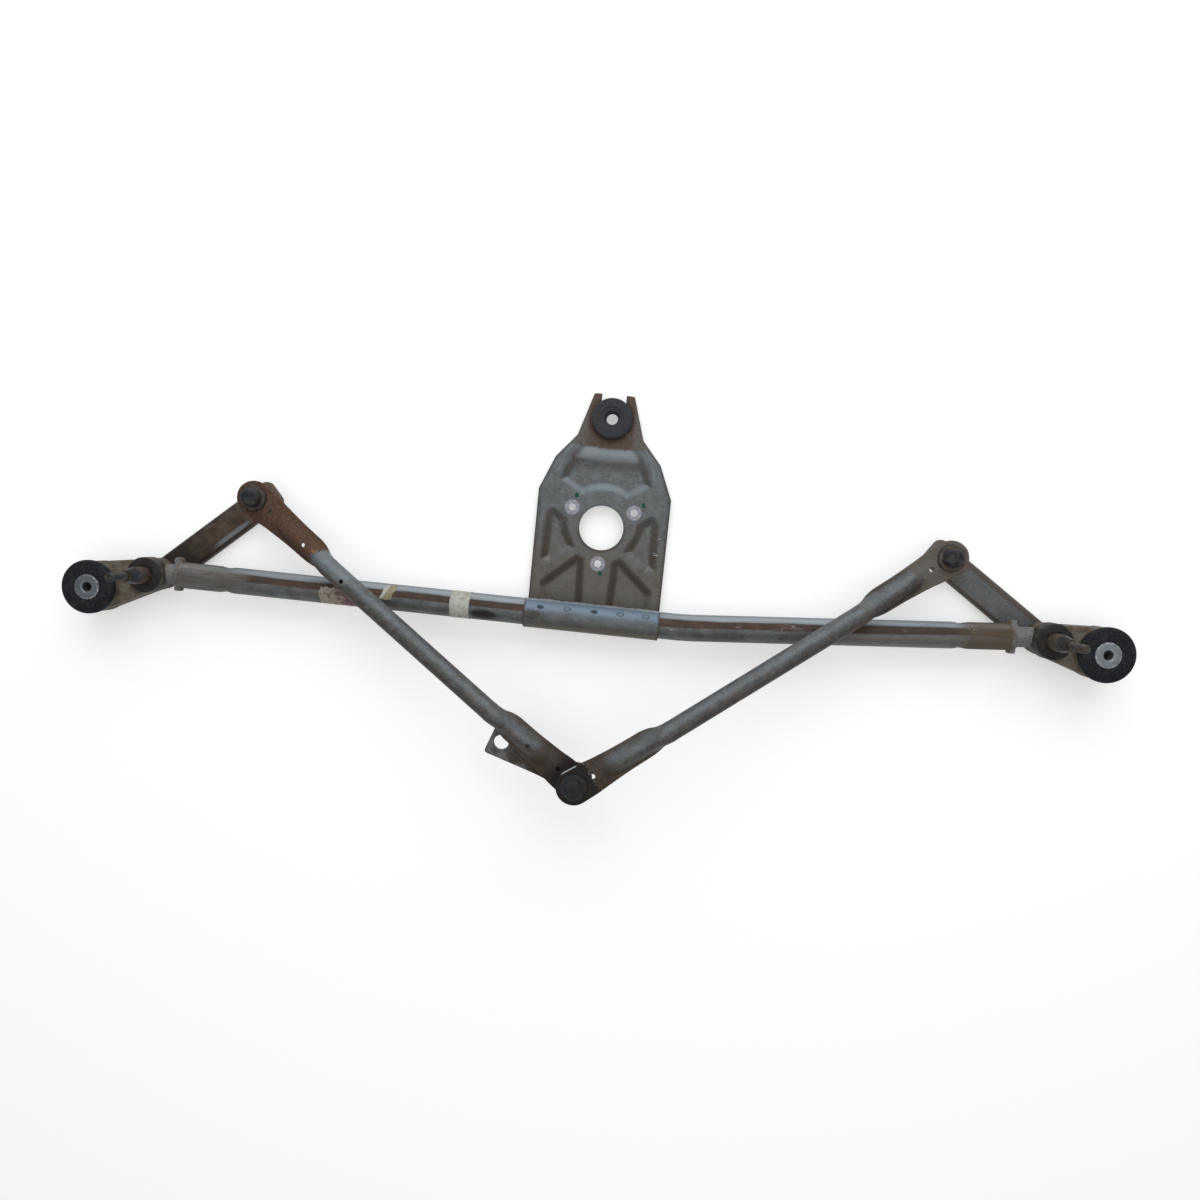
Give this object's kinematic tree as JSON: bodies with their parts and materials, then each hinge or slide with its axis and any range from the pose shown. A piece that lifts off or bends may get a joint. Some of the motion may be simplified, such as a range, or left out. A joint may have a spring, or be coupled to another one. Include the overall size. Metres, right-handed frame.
{
  "type": "wiper linkage",
  "caption": "Windscreen wiper linkage: bent carrier tube with a pressed motor plate, cast spindle housings, levers, push rods and a crank on ball joints.",
  "frame": {"origin": "centre of the motor hole, on the front face of the motor plate", "axes": "+X along the carrier tube to the right, +Y up the motor plate, +Z towards the wiper arms"},
  "size_m": [0.9936, 0.374, 0.098],
  "materials": {
    "tube_steel": "galvanised, dirty",
    "plate_steel": "zinc plated, dirty",
    "rod_steel": "zinc plated, worn",
    "lever_steel": "surface rust",
    "turned_steel": "rusted, greasy",
    "cast_alloy": "as cast, dirty",
    "sleeve_alloy": "turned",
    "bush_metal": "sintered, oiled",
    "rubber": "matt",
    "black_plastic": "satin"
  },
  "bodies": {
    "frame": {"frame_tube": "tube_steel", "motor_plate": "plate_steel", "plate_grommet": "rubber", "left_housing": "cast_alloy", "left_mount_rubber": "rubber", "left_mount_sleeve": "sleeve_alloy", "left_bushes": "bush_metal", "left_boss_cap": "black_plastic", "right_housing": "cast_alloy", "right_mount_rubber": "rubber", "right_mount_sleeve": "sleeve_alloy", "right_bushes": "bush_metal", "right_boss_cap": "black_plastic"},
    "left_rocker": {"left_spindle": "turned_steel", "left_washers": "turned_steel", "left_circlip": "turned_steel", "left_lever_arm": "lever_steel", "left_ball_stud": "turned_steel"},
    "right_rocker": {"right_spindle": "turned_steel", "right_washers": "turned_steel", "right_circlip": "turned_steel", "right_lever_arm": "lever_steel", "right_ball_stud": "turned_steel"},
    "left_link": {"left_rod": "rod_steel", "left_lever_socket": "black_plastic", "left_crank_socket": "black_plastic"},
    "right_link": {"right_rod": "rod_steel", "right_lever_socket": "black_plastic", "right_crank_socket": "black_plastic"},
    "crank": {"crank_arm": "rod_steel", "crank_pin": "turned_steel"}
  },
  "joints": [
    {"name": "left_rocker_swing", "type": "hinge", "parent": "frame", "child": "left_rocker", "pos_m": [-0.4215, -0.087, 0], "axis": [0, 0, 1], "range_deg": [-2, 18]},
    {"name": "right_rocker_swing", "type": "hinge", "parent": "frame", "child": "right_rocker", "pos_m": [0.41811, -0.06093, 0], "axis": [0, 0, 1], "range_deg": [-17, 2]},
    {"name": "left_link_swing", "type": "hinge", "parent": "left_rocker", "child": "left_link", "pos_m": [-0.32716, -0.00499, 0.0195], "axis": [0, 0, 1], "range_deg": [-12, 2]},
    {"name": "right_link_swing", "type": "hinge", "parent": "right_rocker", "child": "right_link", "pos_m": [0.32111, 0.00449, 0.0195], "axis": [0, 0, 1], "range_deg": [-2, 10]},
    {"name": "crank_turn", "type": "hinge", "parent": "left_link", "child": "crank", "pos_m": [0.00161, -0.23283, 0.0365], "axis": [0, 0, 1], "continuous": true}
  ],
  "couplings": [
    {"joint": "right_rocker_swing", "follows": "left_rocker_swing", "ratio": -0.9},
    {"joint": "left_link_swing", "follows": "left_rocker_swing", "ratio": -0.6364},
    {"joint": "right_link_swing", "follows": "left_rocker_swing", "ratio": 0.5177}
  ]
}
